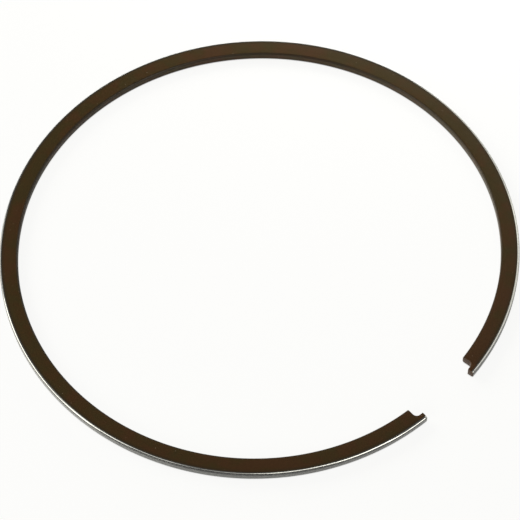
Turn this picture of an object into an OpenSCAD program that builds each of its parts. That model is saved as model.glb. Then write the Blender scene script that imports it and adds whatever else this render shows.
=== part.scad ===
// Split piston ring of a two-stroke engine, lying free on its lower side face.
// The origin is the middle of the ring's box, on the lower side face.
// +X points at the gap and +Z is the ring's axis.

/* [Ring] */
// Diameter of the cylinder bore that the closed ring fits
bore_d = 54; // [40:0.5:80]
// Radial width of the ring, from its inner face to its running face
wall = 2; // [1.6:0.05:3]
// Height of the ring, from its lower to its upper side face
height = 1; // [0.8:0.05:2]
// Width of the bevel along each edge, measured along the side face
edge_bevel = 0.18; // [0.05:0.01:0.3]

/* [Gap] */
// Width of the gap between the ends while the ring lies free, measured at the middle of the wall
free_gap = 7.15; // [5:0.05:9]
// Width of the gap that is left when the ring is closed in its bore
closed_gap = 0.2; // [0.15:0.05:0.5]

/* [Notch for the locating pin] */
// Diameter of the pin in the piston's groove that keeps the ring from turning
pin_d = 1.5; // [1.2:0.1:2]
// Room between the pin and the notch at each end of the closed ring
pin_clearance = 0.25; // [0.1:0.05:0.4]
// Radial width of the tongue that is left outside the notch
tongue_w = 0.72; // [0.45:0.01:0.9]
// Radius of the fillet in the corner of the notch
notch_fillet = 0.5; // [0.1:0.05:0.6]

/* [Hidden] */
$fn = 96;
DEG = 180 / PI;

// A cut runs this far past the faces that it opens
overcut = 1;

// The free shape is a chain of tangent arcs that each turn through this angle, the last through what is left
arc_step = 15;
// Lengths in the chain are kept to a ten-thousandth and its last angle to a thousandth,
// so that the arcs meet exactly
length_grain = 10000;
angle_grain = 1000;
// A centre is set in two moves, whole hundredths first and then the rest
centre_grain = 100;
// Each arc runs on by this part of a degree into the one before it, so that they join
arc_overlap = 0.000001;
// Passes of the iteration that finds a point of the ring by its heading
turn_passes = 12;

function to_grain(v, grain) = round(v * grain) / grain;

half_wall = to_grain(wall / 2, length_grain);
bevel = to_grain(edge_bevel, length_grain);
neutral_r = (bore_d - wall) / 2;

// Half the length of the ring, as an angle on the closed circle
half_turn = 180 - DEG * closed_gap / 2 / neutral_r;

// A ring that presses evenly on its bore has, when free, at a turn from its back,
// a curvature of (1 - opening * (1 + cos(turn))) / neutral_r.
// Its ends then stand 3 * PI * neutral_r * opening * (1 + opening * 5 / 6) further apart than when closed.
gap_ratio = (free_gap - closed_gap) / (3 * PI * neutral_r);
opening = gap_ratio * (1 - gap_ratio * 5 / 6);

// The direction in which the free ring faces at a turn from its back
function heading_at(turn) = turn - opening * (turn + DEG * sin(turn));
// The turn at which it faces a given direction
function turn_at(heading, turn, passes) =
    passes < 1 ? turn : turn_at(heading, heading + opening * (turn + DEG * sin(turn)), passes - 1);

end_heading = to_grain(heading_at(half_turn), angle_grain);
arcs = round(end_heading / arc_step);
last_arc = arcs - 1;

// Arc i runs from heading(i) to heading(i + 1)
function heading(i) = i < arcs ? i * arc_step : end_heading;
function turn(i) = turn_at(heading(i), heading(i), turn_passes);
function arc_r(i) =
    to_grain(neutral_r * (turn(i + 1) - turn(i)) / (heading(i + 1) - heading(i)), length_grain);
function outward(i) = [-cos(heading(i)), sin(heading(i))];
function centre(i) = i == 0 ? [0, 0] : centre(i - 1) + (arc_r(i - 1) - arc_r(i)) * outward(i);

// The middle of the box lies halfway between the back of the ring and the tips of its tongues
back_x = -arc_r(0) - half_wall;
tip_x = centre(last_arc).x + (arc_r(last_arc) + half_wall) * outward(arcs).x;
middle_x = (back_x + tip_x) / 2;

// The two notches and the closed gap together hold the pin with room on both sides
notch_length = (pin_d + 2 * pin_clearance - closed_gap) / 2;
notch_depth = wall - tongue_w;

module at_centre(i) {
    whole = [for (v = centre(i)) to_grain(v, centre_grain)];
    translate(whole)
        translate(centre(i) - whole)
            children();
}

// Section of the ring on an arc of radius r, bevelled along all four edges
module section(r) {
    inner = r - half_wall;
    outer = r + half_wall;
    polygon([
        [inner + bevel, 0],
        [outer - bevel, 0],
        [outer, bevel],
        [outer, height - bevel],
        [outer - bevel, height],
        [inner + bevel, height],
        [inner, height - bevel],
        [inner, bevel]
    ]);
}

// What the notch takes away at an end: X runs outward from the last arc's centre, Y back along the ring
module notch_cut() {
    inner = arc_r(last_arc) - half_wall;
    translate([inner, 0, -overcut])
        linear_extrude(height + 2 * overcut) {
            translate([-overcut, -overcut])
                square([overcut + notch_depth - notch_fillet, overcut + notch_length]);
            translate([-overcut, -overcut])
                square([overcut + notch_depth, overcut + notch_length - notch_fillet]);
            translate([notch_depth - notch_fillet, notch_length - notch_fillet])
                circle(notch_fillet);
        }
}

// Half of the ring, from its back to the end on the +Y side of the gap
module half_ring() {
    difference() {
        for (i = [0 : last_arc]) {
            arc_turn = heading(i + 1) - heading(i) + arc_overlap;
            at_centre(i)
                rotate_extrude(angle = arc_turn, start = 180 - heading(i + 1))
                    section(arc_r(i));
        }
        at_centre(last_arc)
            rotate(180 - end_heading)
                notch_cut();
    }
}

// The whole ring, in its dark brown phosphate finish
module piston_ring() {
    color("#3f2f1f")
        translate([-middle_x, 0, 0]) {
            half_ring();
            mirror([0, 1, 0]) half_ring();
        }
}

piston_ring();
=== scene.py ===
"""Split piston ring of a two-stroke engine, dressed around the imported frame."""
import math

import bmesh
import bpy
import numpy as np
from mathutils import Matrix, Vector


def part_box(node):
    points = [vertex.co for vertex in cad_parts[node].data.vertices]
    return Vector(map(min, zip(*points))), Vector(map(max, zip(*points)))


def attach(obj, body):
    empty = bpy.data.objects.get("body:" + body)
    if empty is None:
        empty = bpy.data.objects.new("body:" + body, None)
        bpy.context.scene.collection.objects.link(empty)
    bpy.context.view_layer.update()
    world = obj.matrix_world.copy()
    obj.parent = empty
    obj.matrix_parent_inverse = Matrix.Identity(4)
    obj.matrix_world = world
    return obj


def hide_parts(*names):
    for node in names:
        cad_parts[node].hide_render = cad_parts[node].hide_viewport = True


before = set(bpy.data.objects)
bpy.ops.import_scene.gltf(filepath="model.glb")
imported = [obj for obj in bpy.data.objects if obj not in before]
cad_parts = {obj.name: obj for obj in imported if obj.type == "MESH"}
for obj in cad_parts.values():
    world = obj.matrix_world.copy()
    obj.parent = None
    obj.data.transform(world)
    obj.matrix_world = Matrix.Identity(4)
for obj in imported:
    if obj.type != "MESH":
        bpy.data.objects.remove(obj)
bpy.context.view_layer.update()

MM = 0.001

# Sizes of the ring in millimetres, as in the part's source
BORE_D = 54.0
WALL = 2.0
FREE_GAP = 7.15
CLOSED_GAP = 0.2
NOTCH_LENGTH = 0.9
TONGUE_W = 0.72
NOTCH_FILLET = 0.5

# Radius of the rounded long edges, which stand for the bevels of the part's source,
# and the flat width between them
EDGE_RADIUS = 0.25
FLAT_WIDTH = WALL - 2 * EDGE_RADIUS

# How finely the ring is meshed. On a long outer edge, the polished steps lie next to the side face, and the
# steps after them carry a painted dark reflection.
BODY_STATIONS = 541
TONGUE_STATIONS = 3
FILLET_STEPS = 12
EDGE_STEPS = 9
POLISHED_STEPS = 6
FINE_STATIONS = 20001

# Rounding of the edges at the ends, in millimetres and degrees
END_ROUND = 0.03
END_SEGMENTS = 2
END_ANGLE = 30

# Turns past this one are near the end of the ring
NEAR_END_TURN = math.pi * 3 / 4

# Camera, in millimetres and degrees: where it stands, and the point in the middle of its picture
CAMERA_AZIMUTH = 43.45
CAMERA_ELEVATION = 56.408
CAMERA_DISTANCE = 263.2
FRAME_WIDTH = 56.47
AIM_RIGHT = 0.282
AIM_DOWN = 1.318
SENSOR = 36.0
CLIP_START = 10
CLIP_END = 20000

# Light: a warm white, from cards at one distance in millimetres, over a faint grey surround
LAMP_COLOUR = (1.0, 0.985, 0.90)
CARD_DISTANCE = 300
SURROUND = 0.1

# Floor: its colour under the lamps, the white that it is seen as, and the share of that white
# for the camera and in the ring's metal
FLOOR_COLOUR = (0.9, 0.9, 0.89, 1)
FLOOR_WHITE = (0.985, 0.985, 0.975, 1)
SEEN_SHARE = 0.93
MIRRORED_SHARE = 0.24

# Contact shadow: how far it reaches in millimetres, and how much white is left where it is darkest
CONTACT_REACH = 0.12
CONTACT_WHITE = 0.5

# Floor plane: half its side, and its depth below the ring, in millimetres
FLOOR_HALF = 2000
FLOOR_DEPTH = 0.02

# Colours of the phosphate, with two painted shades: a darker border next to the outer rounded edge, and
# darker inner rounded edges
OLIVE = (0.0355, 0.0238, 0.0081)
BROWN = (0.0402, 0.0223, 0.0077)
RED_BROWN = (0.0450, 0.0213, 0.0084)
BARE_SPECK = (0.17, 0.125, 0.09)
# Painted shade along the outer border of a side face, next to the outer rounded edge
OUTER_BORDER_SHADE = (0.027, 0.0188, 0.0095)
RUBBED_EDGE = (0.078, 0.055, 0.034)
# Painted shade of the inner rounded edges
INNER_EDGE_SHADE = (0.0145, 0.011, 0.007)
# How strong the painted shades of the outer border and of the inner rounded edges are
BORDER_SHADE_AMOUNT = 0.85
INNER_EDGE_SHADE_AMOUNT = 0.55

# Patterns of the phosphate, per millimetre. The drift is the slow change of hue around the ring,
# and its shift picks the part of the pattern that lies on it.
BLOTCHES = 0.4
GRAIN = 9
DRIFT = 0.03
DRIFT_SHIFT = (20, 100, 0)
SPECK_CELLS = 1.3
GRAIN_BUMP = 0.35
GRAIN_DEPTH_MM = 0.02

# Patterns of the bare iron, per millimetre. The stretch draws the lines out around the ring.
LINES = 14
LINE_STRETCH = (0.03, 0.03, 1)
SPECKLE = 7
LINE_BUMP = 0.3
LINE_DEPTH_MM = 0.01
OIL_ROUGHNESS = 0.15

# Square sheet on which the ring's faces are laid out for baked pictures, in millimetres
BAKE_MAP = "OFBake"
SHEET_SIZE = 33.2
SHEET_ROWS = 5
SHEET_MARGIN = 0.1
SPOT_WIDTH = 3.0

# Spots of the ends on the sheet, each for the far end and the near end
WALL_SPOTS = (0, 1)
UNDERSIDE_SPOTS = (2, 3)
TOP_SPOTS = (4, 5)

# Slots of the ring's mesh
PHOSPHATE = 0
GROUND = 1
POLISHED = 2
CUT = 3
# A dark band of iron between the polished edge and the ground wall: a painted dark reflection of the dark
# surroundings in front
PAINTED_DARK_LINE = 4


def remove_startup_objects():
    for name in ("Cube", "Light", "Camera"):
        obj = bpy.data.objects.get(name)
        if obj:
            bpy.data.objects.remove(obj)


class FreeLine:
    """The middle of the wall of the free ring, seen from above, in millimetres.

    A turn of 0 is the back of the ring, and the turn grows towards the end on the +Y side of the gap.
    """

    def __init__(self, back_x):
        self.r = (BORE_D - WALL) / 2
        self.end_turn = math.pi - CLOSED_GAP / 2 / self.r
        ratio = (FREE_GAP - CLOSED_GAP) / (3 * math.pi * self.r)
        self.opening = ratio * (1 - ratio * 5 / 6)
        self.turns = np.linspace(0, self.end_turn, FINE_STATIONS)
        heading = self.heading(self.turns)
        self.x = back_x + WALL / 2 + self.run(np.sin(heading))
        self.y = self.run(np.cos(heading))

    def heading(self, turn):
        return turn - self.opening * (turn + np.sin(turn))

    def run(self, slope):
        steps = (slope[1:] + slope[:-1]) / 2 * np.diff(self.turns) * self.r
        return np.concatenate(([0], np.cumsum(steps)))

    def at(self, turn, offset):
        """Points at these turns, offset outwards from the middle of the wall."""
        turn = np.asarray(turn, float)
        side = np.where(turn < 0, -1, 1)
        size = np.abs(turn)
        heading = self.heading(size)
        x = np.interp(size, self.turns, self.x) - offset * np.cos(heading)
        y = np.interp(size, self.turns, self.y) + offset * np.sin(heading)
        return np.stack([x, side * y], axis=-1)

    def at_end(self, outward, back):
        """A point from the +Y end: outwards from the middle of the wall, and back along the ring."""
        heading = self.heading(self.end_turn)
        out = np.array([-math.cos(heading), math.sin(heading)])
        along = np.array([math.sin(heading), math.cos(heading)])
        return np.array([self.x[-1], self.y[-1]]) + outward * out - back * along

    def turn_back(self, offset, back):
        """The turn at which the line with this offset is this far back from the end."""
        heading = self.heading(self.end_turn)
        along = np.array([math.sin(heading), math.cos(heading)])
        points = self.at(self.turns, offset)
        gone = (points[-1] - points) @ along
        near = self.turns > NEAR_END_TURN
        return float(np.interp(-back, -gone[near], self.turns[near]))


def notch_points(line):
    """The notch at the +Y end, from the tip of the tongue to the end of the fillet."""
    tongue = WALL / 2 - TONGUE_W
    points = [line.at_end(tongue, 0)]
    for i in range(FILLET_STEPS + 1):
        a = math.pi / 2 * i / FILLET_STEPS
        outward = tongue - NOTCH_FILLET * (1 - math.cos(a))
        back = NOTCH_LENGTH - NOTCH_FILLET * (1 - math.sin(a))
        points.append(line.at_end(outward, back))
    return np.array(points)


def outline(line, body_turns, tongue_turns, inset):
    """The ring's outline at one level, with its outer and inner curves moved in by inset."""
    half = WALL / 2 - inset
    outer_turns = np.concatenate((-tongue_turns[::-1], body_turns, tongue_turns))
    inner_turns = body_turns.copy()
    inner_turns[-1] = line.turn_back(-half, NOTCH_LENGTH)
    inner_turns[0] = -inner_turns[-1]
    notch = notch_points(line)
    mirrored = notch[::-1] * np.array([1, -1])
    return np.concatenate((line.at(outer_turns, half), notch, line.at(inner_turns[::-1], -half), mirrored))


def lengths_along(points):
    """The length of the way along these points, up to each of them."""
    steps = np.linalg.norm(np.diff(points, axis=0), axis=1)
    return np.concatenate(([0], np.cumsum(steps)))


def edge_shade(level, count):
    """How deep in a rounded edge a level lies, from 0 at its borders to 1 in its middle half, which sets
    how much painted shade an inner rounded edge gets.
    """
    step = min(level, count - 1 - level)
    return min(1, max(0, 2 - 2 * abs(2 * step / EDGE_STEPS - 1)))


class Sheet:
    """Where the ring's faces lie on a flat sheet, in millimetres, so that a picture can be baked for them.

    The ring is cut into rows. Each row holds a stretch of the outer wall, the top, the inner wall
    and the underside, one above the other. The faces of the two ends have spots in a last row.
    """

    def __init__(self, step, wall_height):
        self.step = step
        self.row_steps = math.ceil((BODY_STATIONS - 1 + 2 * TONGUE_STATIONS) / SHEET_ROWS)
        self.starts = {}
        self.row_height = 0
        for band in ("outer", "top", "inner", "underside"):
            width = wall_height if band in ("outer", "inner") else FLAT_WIDTH
            self.starts[band] = self.row_height + SHEET_MARGIN
            self.row_height += width + SHEET_MARGIN

    def body(self, step, band, low, high):
        """The corners of the face at this step along the ring, from low to high in a band."""
        row, place = divmod(step, self.row_steps)
        left = SHEET_MARGIN + place * self.step
        right = left + self.step
        base = row * self.row_height + self.starts[band]
        return [(left, base + low), (right, base + low), (right, base + high), (left, base + high)]

    def spot(self, number):
        """The lower left corner of a spot in the last row."""
        return np.array([SHEET_MARGIN + number * SPOT_WIDTH, SHEET_MARGIN + SHEET_ROWS * self.row_height])


class RingMesh:
    """The ring as one closed mesh in metres, built from its outline at each level.

    It has two UV maps. The map "across" tells the materials how deep in an inner rounded edge a point is,
    for the painted shade there, and how far across a side face, from -1 at the inner edge to 1 at the outer
    one. The other is the sheet.
    """

    def __init__(self, line, height):
        body_end = line.turn_back(-WALL / 2, NOTCH_LENGTH)
        body_turns = np.linspace(-body_end, body_end, BODY_STATIONS)
        tongue_turns = np.linspace(body_end, line.end_turn, TONGUE_STATIONS + 1)[1:]
        angles = [math.pi / 2 * i / EDGE_STEPS for i in range(EDGE_STEPS + 1)]
        lower = [(EDGE_RADIUS * (1 - math.cos(a)), EDGE_RADIUS * (1 - math.sin(a))) for a in angles]
        upper = [(height - z, inset) for z, inset in reversed(lower)]
        self.levels = lower + upper
        self.rises = lengths_along(np.array(self.levels))
        self.widest = outline(line, body_turns, tongue_turns, 0)
        self.sheet = Sheet(line.r * (body_turns[1] - body_turns[0]), self.rises[-1])

        self.outer_count = BODY_STATIONS + 2 * TONGUE_STATIONS
        self.inner_first = self.outer_count + FILLET_STEPS + 2
        self.inner_last = self.inner_first + BODY_STATIONS - 1

        self.mesh = bmesh.new()
        self.across = self.mesh.loops.layers.uv.new("across")
        self.baked = self.mesh.loops.layers.uv.new(BAKE_MAP)
        self.rows = []
        for z, inset in self.levels:
            points = outline(line, body_turns, tongue_turns, inset)
            self.rows.append([self.mesh.verts.new((x * MM, y * MM, z * MM)) for x, y in points])

    def add(self, verts, material, places, across=None):
        """A face, with the places of its corners on the sheet and their values in the map "across"."""
        face = self.mesh.faces.new(verts)
        face.material_index = material
        face.smooth = True
        for n, loop in enumerate(face.loops):
            loop[self.across].uv = across[n] if across else (0, 0)
            loop[self.baked].uv = (places[n][0] / SHEET_SIZE, places[n][1] / SHEET_SIZE)

    def add_walls(self):
        """The outer and the inner wall, each with its two rounded edges."""
        count = len(self.rows)
        for level in range(count - 1):
            low = self.rows[level]
            high = self.rows[level + 1]
            rise = self.rises[level:level + 2]
            from_side = min(level, count - 2 - level)
            if from_side < POLISHED_STEPS:
                metal = POLISHED
            # Painted dark reflection between the polished steps and the ground wall
            elif from_side < EDGE_STEPS:
                metal = PAINTED_DARK_LINE
            else:
                metal = GROUND
            for i in range(self.outer_count - 1):
                corners = (low[i], low[i + 1], high[i + 1], high[i])
                self.add(corners, metal, self.sheet.body(i, "outer", *rise))
            # Painted shade on the inner rounded edges, darkest in their middle half
            shades = [(edge_shade(n, count), 0) for n in (level, level, level + 1, level + 1)]
            for step in range(BODY_STATIONS - 1):
                i = self.inner_first + step
                corners = (low[i], low[i + 1], high[i + 1], high[i])
                self.add(corners, CUT, self.sheet.body(step, "inner", *rise), shades)

    def add_sides(self):
        """The top and the underside."""
        across = ((0, 1), (0, 1), (0, -1), (0, -1))
        body_last = self.outer_count - TONGUE_STATIONS - 1
        sides = ((self.rows[0], "underside", UNDERSIDE_SPOTS), (self.rows[-1], "top", TOP_SPOTS))
        for row, band, spots in sides:
            outer = row[TONGUE_STATIONS:body_last + 1]
            inner = row[self.inner_first:self.inner_last + 1][::-1]
            for i in range(BODY_STATIONS - 1):
                corners = (outer[i], outer[i + 1], inner[i + 1], inner[i])
                self.add(corners, PHOSPHATE, self.sheet.body(i, band, 0, FLAT_WIDTH), across)
            far_end = row[body_last:self.inner_first + 1]
            near_end = row[self.inner_last:] + row[:TONGUE_STATIONS + 1]
            for end, spot in zip((far_end, near_end), spots):
                places = np.array([vert.co.xy / MM for vert in end])
                self.add(end, PHOSPHATE, places - places.min(axis=0) + self.sheet.spot(spot))

    def add_ends(self):
        """The tips of the tongues, the notches and the cut ends of the wall.

        The first and the last column of an end follow the rounded edges. Those between them are straight,
        so their lowest and highest points are enough.
        """
        far_end = list(range(self.outer_count - 1, self.inner_first + 1))
        near_end = list(range(self.inner_last, len(self.widest))) + [0]
        for end, spot in zip((far_end, near_end), WALL_SPOTS):
            lengths = lengths_along(self.widest[end])
            columns = [self.column(end[0], lengths[0], 1)]
            for index, length in zip(end[1:-1], lengths[1:-1]):
                straight = self.column(index, length, 0)
                columns.append([straight[0], straight[-1]])
            columns.append(self.column(end[-1], lengths[-1], -1))
            for left, right in zip(columns, columns[1:]):
                verts, places = zip(*left, *reversed(right))
                self.add(verts, CUT, np.array(places) + self.sheet.spot(spot))

    def column(self, index, length, inward):
        """A point of the outline at each level, with its place on the end, which the inset moves inward."""
        points = []
        for row, (z, inset) in zip(self.rows, self.levels):
            points.append((row[index], (length + inward * inset, z)))
        return points

    def finish(self):
        """Adds all faces and returns the mesh, without the points that no face needed."""
        self.add_walls()
        self.add_sides()
        self.add_ends()
        unused = [vert for vert in self.mesh.verts if not vert.link_faces]
        bmesh.ops.delete(self.mesh, geom=unused, context="VERTS")
        bmesh.ops.recalc_face_normals(self.mesh, faces=self.mesh.faces)
        data = bpy.data.meshes.new("ring")
        self.mesh.to_mesh(data)
        self.mesh.free()
        return data


class Nodes:
    """Short ways to add the nodes of one material."""

    def __init__(self, name):
        self.material = bpy.data.materials.new(name)
        self.material.use_nodes = True
        self.tree = self.material.node_tree
        self.shader = self.tree.nodes["Principled BSDF"]

    def add(self, kind, **settings):
        node = self.tree.nodes.new(kind)
        for key, value in settings.items():
            setattr(node, key, value)
        return node

    def link(self, source, target):
        self.tree.links.new(source, target)

    def place(self, stretch=(1, 1, 1), shift=(0, 0, 0)):
        """The place on the object in millimetres, squeezed by stretch along each axis and then shifted."""
        coordinate = self.add("ShaderNodeTexCoord")
        mapping = self.add("ShaderNodeMapping")
        mapping.inputs["Scale"].default_value = [s / MM for s in stretch]
        mapping.inputs["Location"].default_value = shift
        self.link(coordinate.outputs["Object"], mapping.inputs["Vector"])
        return mapping.outputs["Vector"]

    def noise(self, vector, per_mm, detail, roughness=0.5):
        node = self.add("ShaderNodeTexNoise")
        node.inputs["Scale"].default_value = per_mm
        node.inputs["Detail"].default_value = detail
        node.inputs["Roughness"].default_value = roughness
        self.link(vector, node.inputs["Vector"])
        return node.outputs["Fac"]

    def ramp(self, factor, *stops):
        """A colour ramp through stops of (position, colour), a colour being three numbers or one grey."""
        node = self.add("ShaderNodeValToRGB")
        elements = node.color_ramp.elements
        while len(elements) < len(stops):
            elements.new(0.5)
        for element, (position, colour) in zip(elements, stops):
            element.position = position
            rgb = colour if isinstance(colour, tuple) else (colour,) * 3
            element.color = (*rgb, 1)
        self.link(factor, node.inputs["Fac"])
        return node.outputs["Color"]

    def mix(self, factor, a, b, blend="MIX"):
        """Mixes colour b into colour a; a factor or colour is a socket or a plain value."""
        node = self.add("ShaderNodeMix", data_type="RGBA", blend_type=blend)
        for socket, value in zip((node.inputs[0], node.inputs[6], node.inputs[7]), (factor, a, b)):
            if isinstance(value, bpy.types.NodeSocket):
                self.link(value, socket)
            else:
                socket.default_value = (*value, 1) if isinstance(value, tuple) else value
        return node.outputs[2]

    def spread(self, factor, low, high):
        """Maps 0 to 1 onto low to high."""
        node = self.add("ShaderNodeMapRange")
        node.inputs["To Min"].default_value = low
        node.inputs["To Max"].default_value = high
        self.link(factor, node.inputs["Value"])
        return node.outputs["Result"]

    def maths(self, operation, a, b=None):
        node = self.add("ShaderNodeMath", operation=operation)
        for socket, value in zip(node.inputs, (a, b)):
            if isinstance(value, bpy.types.NodeSocket):
                self.link(value, socket)
            elif value is not None:
                socket.default_value = value
        return node.outputs["Value"]

    def bump(self, height, strength, depth_mm):
        node = self.add("ShaderNodeBump")
        node.inputs["Strength"].default_value = strength
        node.inputs["Distance"].default_value = depth_mm * MM
        self.link(height, node.inputs["Height"])
        self.link(node.outputs["Normal"], self.shader.inputs["Normal"])


def phosphate_material(name, roughness, gloss):
    """Dark brown phosphate: soft blotches of olive and red brown, a fine grain and a few bare specks."""
    n = Nodes(name)
    place = n.place()
    blotch = n.noise(place, BLOTCHES, detail=4, roughness=0.6)
    grain = n.noise(place, GRAIN, detail=4, roughness=0.6)
    drift = n.noise(n.place(shift=DRIFT_SHIFT), DRIFT, detail=1)
    hue = n.maths("ADD", n.spread(blotch, -0.4, 1.4), n.spread(drift, -0.6, 0.6))
    colour = n.ramp(hue, (0.30, OLIVE), (0.5, BROWN), (0.70, RED_BROWN))
    colour = n.mix(1.0, colour, n.ramp(grain, (0.25, 0.72), (0.75, 1.28)), "MULTIPLY")
    colour = n.mix(bare_specks(n, place, grain), colour, BARE_SPECK)
    colour = shade_edges(n, colour, grain)
    n.link(colour, n.shader.inputs["Base Color"])
    n.link(n.spread(grain, *roughness), n.shader.inputs["Roughness"])
    n.shader.inputs["Specular IOR Level"].default_value = gloss
    n.bump(grain, GRAIN_BUMP, GRAIN_DEPTH_MM)
    return n.material


def bare_specks(n, place, grain):
    """Small spots in the middle of Voronoi cells, with borders that the grain makes ragged."""
    cells = n.add("ShaderNodeTexVoronoi")
    cells.inputs["Scale"].default_value = SPECK_CELLS
    n.link(place, cells.inputs["Vector"])
    ragged = n.maths("ADD", cells.outputs["Distance"], n.spread(grain, -0.12, 0.16))
    return n.ramp(ragged, (0.03, 1), (0.09, 0))


def shade_edges(n, colour, grain):
    """Paints shade on the outer border of a side face and on the inner rounded edges, and rubs its edges
    lighter as wear.
    """
    uv = n.add("ShaderNodeUVMap", uv_map="across")
    split = n.add("ShaderNodeSeparateXYZ")
    n.link(uv.outputs["UV"], split.inputs["Vector"])
    # Painted shade along the outer border of a side face
    border = n.ramp(split.outputs["Y"], (0.5, 0), (0.95, 1))
    colour = n.mix(n.maths("MULTIPLY", border, BORDER_SHADE_AMOUNT), colour, OUTER_BORDER_SHADE)
    edge = n.ramp(n.maths("ABSOLUTE", split.outputs["Y"]), (0.93, 0), (1.0, 1))
    rubbed = n.maths("MULTIPLY", edge, n.ramp(grain, (0.5, 0), (0.7, 1)))
    colour = n.mix(rubbed, colour, RUBBED_EDGE)
    # Painted shade on the inner rounded edges
    return n.mix(n.maths("MULTIPLY", split.outputs["X"], INNER_EDGE_SHADE_AMOUNT), colour, INNER_EDGE_SHADE)


def bare_material(name, dark, light, roughness, brushed):
    """Bare iron under a thin film of oil, with fine lines around the ring from its machining."""
    n = Nodes(name)
    lines = n.noise(n.place(LINE_STRETCH), LINES, detail=5, roughness=0.65)
    speckle = n.noise(n.place(), SPECKLE, detail=3, roughness=0.6)
    colour = n.ramp(lines, (0.3, dark), (0.7, light))
    colour = n.mix(1.0, colour, n.ramp(speckle, (0.3, 0.8), (0.7, 1.15)), "MULTIPLY")
    n.link(colour, n.shader.inputs["Base Color"])
    n.shader.inputs["Metallic"].default_value = 1.0
    n.link(n.spread(lines, *roughness), n.shader.inputs["Roughness"])
    n.shader.inputs["Anisotropic"].default_value = brushed
    n.shader.inputs["Coat Weight"].default_value = 1.0
    n.shader.inputs["Coat Roughness"].default_value = OIL_ROUGHNESS
    around = n.add("ShaderNodeTangent", direction_type="RADIAL", axis="Z")
    n.link(around.outputs["Tangent"], n.shader.inputs["Tangent"])
    n.bump(lines, LINE_BUMP, LINE_DEPTH_MM)
    return n.material


def ring_materials():
    """The ring's materials by their slots."""
    return {
        PHOSPHATE: phosphate_material("brown_phosphate", roughness=(0.28, 0.48), gloss=0.17),
        GROUND: bare_material("ground_iron", dark=(0.29, 0.29, 0.28), light=(0.42, 0.42, 0.41),
                              roughness=(0.50, 0.60), brushed=0.9),
        POLISHED: bare_material("polished_iron", dark=(0.46, 0.46, 0.44), light=(0.58, 0.58, 0.56),
                                roughness=(0.10, 0.18), brushed=0.0),
        CUT: phosphate_material("cut_phosphate", roughness=(0.24, 0.40), gloss=0.24),
        # Its dark colour is a painted reflection of the dark surroundings that this part of the edge
        # mirrors
        PAINTED_DARK_LINE: bare_material("iron_painted_dark_reflection", dark=(0.06, 0.06, 0.06), light=(0.11, 0.11, 0.11),
                            roughness=(0.40, 0.50), brushed=0.5),
    }


def build_ring():
    low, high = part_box("piston_ring")
    line = FreeLine(low[0] / MM)
    data = RingMesh(line, (high[2] - low[2]) / MM).finish()
    for _, material in sorted(ring_materials().items()):
        data.materials.append(material)
    ring = bpy.data.objects.new("ring", data)
    bpy.context.collection.objects.link(ring)

    rounding = ring.modifiers.new("rounding", "BEVEL")
    rounding.width = END_ROUND * MM
    rounding.segments = END_SEGMENTS
    rounding.limit_method = "ANGLE"
    rounding.angle_limit = math.radians(END_ANGLE)
    rounding.use_clamp_overlap = False
    normals = ring.modifiers.new("normals", "WEIGHTED_NORMAL")
    normals.keep_sharp = False

    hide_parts("piston_ring")
    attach(ring, "root")


def camera_axes():
    """Directions in the picture: to the right, away along the floor, and towards the camera."""
    a = math.radians(CAMERA_AZIMUTH)
    e = math.radians(CAMERA_ELEVATION)
    right = Vector((math.cos(a), math.sin(a), 0))
    away = Vector((-math.sin(a), math.cos(a), 0))
    towards = Vector((0, 0, 1)) * math.sin(e) - away * math.cos(e)
    return right, away, towards


def add_camera():
    right, _, towards = camera_axes()
    up = towards.cross(right)
    data = bpy.data.cameras.new("camera")
    data.sensor_width = SENSOR
    data.lens = SENSOR * CAMERA_DISTANCE / FRAME_WIDTH
    data.clip_start = CLIP_START * MM
    data.clip_end = CLIP_END * MM
    camera = bpy.data.objects.new("camera", data)
    camera.location = towards * CAMERA_DISTANCE * MM
    aim = (right * AIM_RIGHT - up * AIM_DOWN) * MM
    camera.rotation_euler = (aim - camera.location).to_track_quat("-Z", "Y").to_euler()
    bpy.context.collection.objects.link(camera)
    bpy.context.scene.camera = camera


def add_softbox(name, azimuth, elevation, size_mm, radiance, distance_mm=CARD_DISTANCE):
    """A soft lamp that faces the ring. Its azimuth runs to the right from the camera's side, in degrees."""
    right, away, _ = camera_axes()
    a = math.radians(azimuth)
    e = math.radians(elevation)
    data = bpy.data.lights.new(name, "AREA")
    data.shape = "RECTANGLE"
    data.size = size_mm[0] * MM
    data.size_y = size_mm[1] * MM
    data.energy = radiance * math.pi * data.size * data.size_y
    data.color = LAMP_COLOUR
    lamp = bpy.data.objects.new(name, data)
    along_floor = right * math.sin(a) - away * math.cos(a)
    direction = along_floor * math.cos(e) + Vector((0, 0, math.sin(e)))
    lamp.location = direction * distance_mm * MM
    lamp.rotation_euler = direction.to_track_quat("Z", "Y").to_euler()
    lamp.visible_camera = False
    bpy.context.collection.objects.link(lamp)
    return lamp


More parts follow.
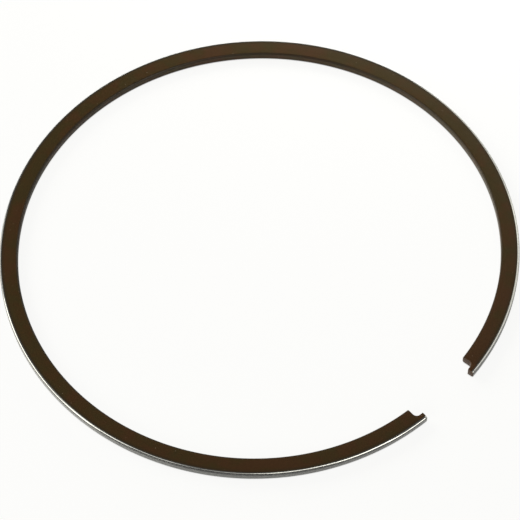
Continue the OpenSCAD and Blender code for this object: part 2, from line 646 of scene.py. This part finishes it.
def add_light():
    world = bpy.data.worlds.new("studio")
    world.use_nodes = True
    background = world.node_tree.nodes["Background"]
    background.inputs["Color"].default_value = (1, 1, 1, 1)
    background.inputs["Strength"].default_value = SURROUND
    bpy.context.scene.world = world

    # Cards around the ring, which show in its metal and its gloss and light nothing else
    cards = [
        add_softbox("right_back", 145, 34, (150, 220), 0.9),
        add_softbox("right_side", 106, 26, (300, 220), 1.1),
        add_softbox("right_low", 57, 19, (100, 130), 3.2),
        add_softbox("right_high", 42, 40, (100, 150), 3.4),
        add_softbox("right_top", 20, 60, (90, 130), 2.1),
        add_softbox("front_top", -2, 62, (100, 110), 0.55),
        add_softbox("left_top", -46, 54, (110, 120), 1.05),
        add_softbox("left_high", -61, 37, (100, 100), 2.7),
        add_softbox("left_upper", -86, 53, (110, 110), 0.5),
        add_softbox("left_low", -82, 14, (280, 150), 2.8),
        add_softbox("left_side", -115, 20, (160, 150), 0.9),
    ]
    for card in cards:
        card.visible_diffuse = False

    # Lamps that light the ring and the floor, and don't show in them
    lamps = [
        add_softbox("key", -128, 25, (480, 280), 12.0, distance_mm=600),
        add_softbox("back_lamp", 162, 20, (60, 20), 7.2, distance_mm=60),
        add_softbox("fill", -35, 25, (480, 280), 5.5, distance_mm=600),
    ]
    for lamp in lamps:
        lamp.visible_glossy = False


def floor_material():
    """A white floor, seen as white, with the ring's faint shadow and a dark line where the ring rests."""
    n = Nodes("white_floor")
    output = n.tree.nodes["Material Output"]
    n.tree.nodes.remove(n.shader)
    diffuse = n.add("ShaderNodeBsdfDiffuse")
    diffuse.inputs["Color"].default_value = FLOOR_COLOUR
    white = n.add("ShaderNodeEmission")
    white.inputs["Color"].default_value = FLOOR_WHITE
    contact = n.add("ShaderNodeAmbientOcclusion", samples=8)
    contact.inputs["Distance"].default_value = CONTACT_REACH * MM
    n.link(n.spread(contact.outputs["AO"], CONTACT_WHITE, 1.0), white.inputs["Strength"])
    path = n.add("ShaderNodeLightPath")
    mirrored = n.maths("MAXIMUM", path.outputs["Is Glossy Ray"], path.outputs["Is Transmission Ray"])
    seen = n.maths("MULTIPLY", path.outputs["Is Camera Ray"], SEEN_SHARE)
    share = n.maths("MAXIMUM", seen, n.maths("MULTIPLY", mirrored, MIRRORED_SHARE))
    mix = n.add("ShaderNodeMixShader")
    n.link(share, mix.inputs[0])
    n.link(diffuse.outputs[0], mix.inputs[1])
    n.link(white.outputs[0], mix.inputs[2])
    n.link(mix.outputs[0], output.inputs["Surface"])
    return n.material


def add_floor():
    half = FLOOR_HALF * MM
    z = -FLOOR_DEPTH * MM
    corners = [(-half, -half, z), (half, -half, z), (half, half, z), (-half, half, z)]
    data = bpy.data.meshes.new("floor")
    data.from_pydata(corners, [], [(0, 1, 2, 3)])
    data.materials.append(floor_material())
    floor = bpy.data.objects.new("floor", data)
    bpy.context.collection.objects.link(floor)


remove_startup_objects()
bpy.context.scene.view_settings.view_transform = "Standard"
add_camera()
add_light()
add_floor()
build_ring()
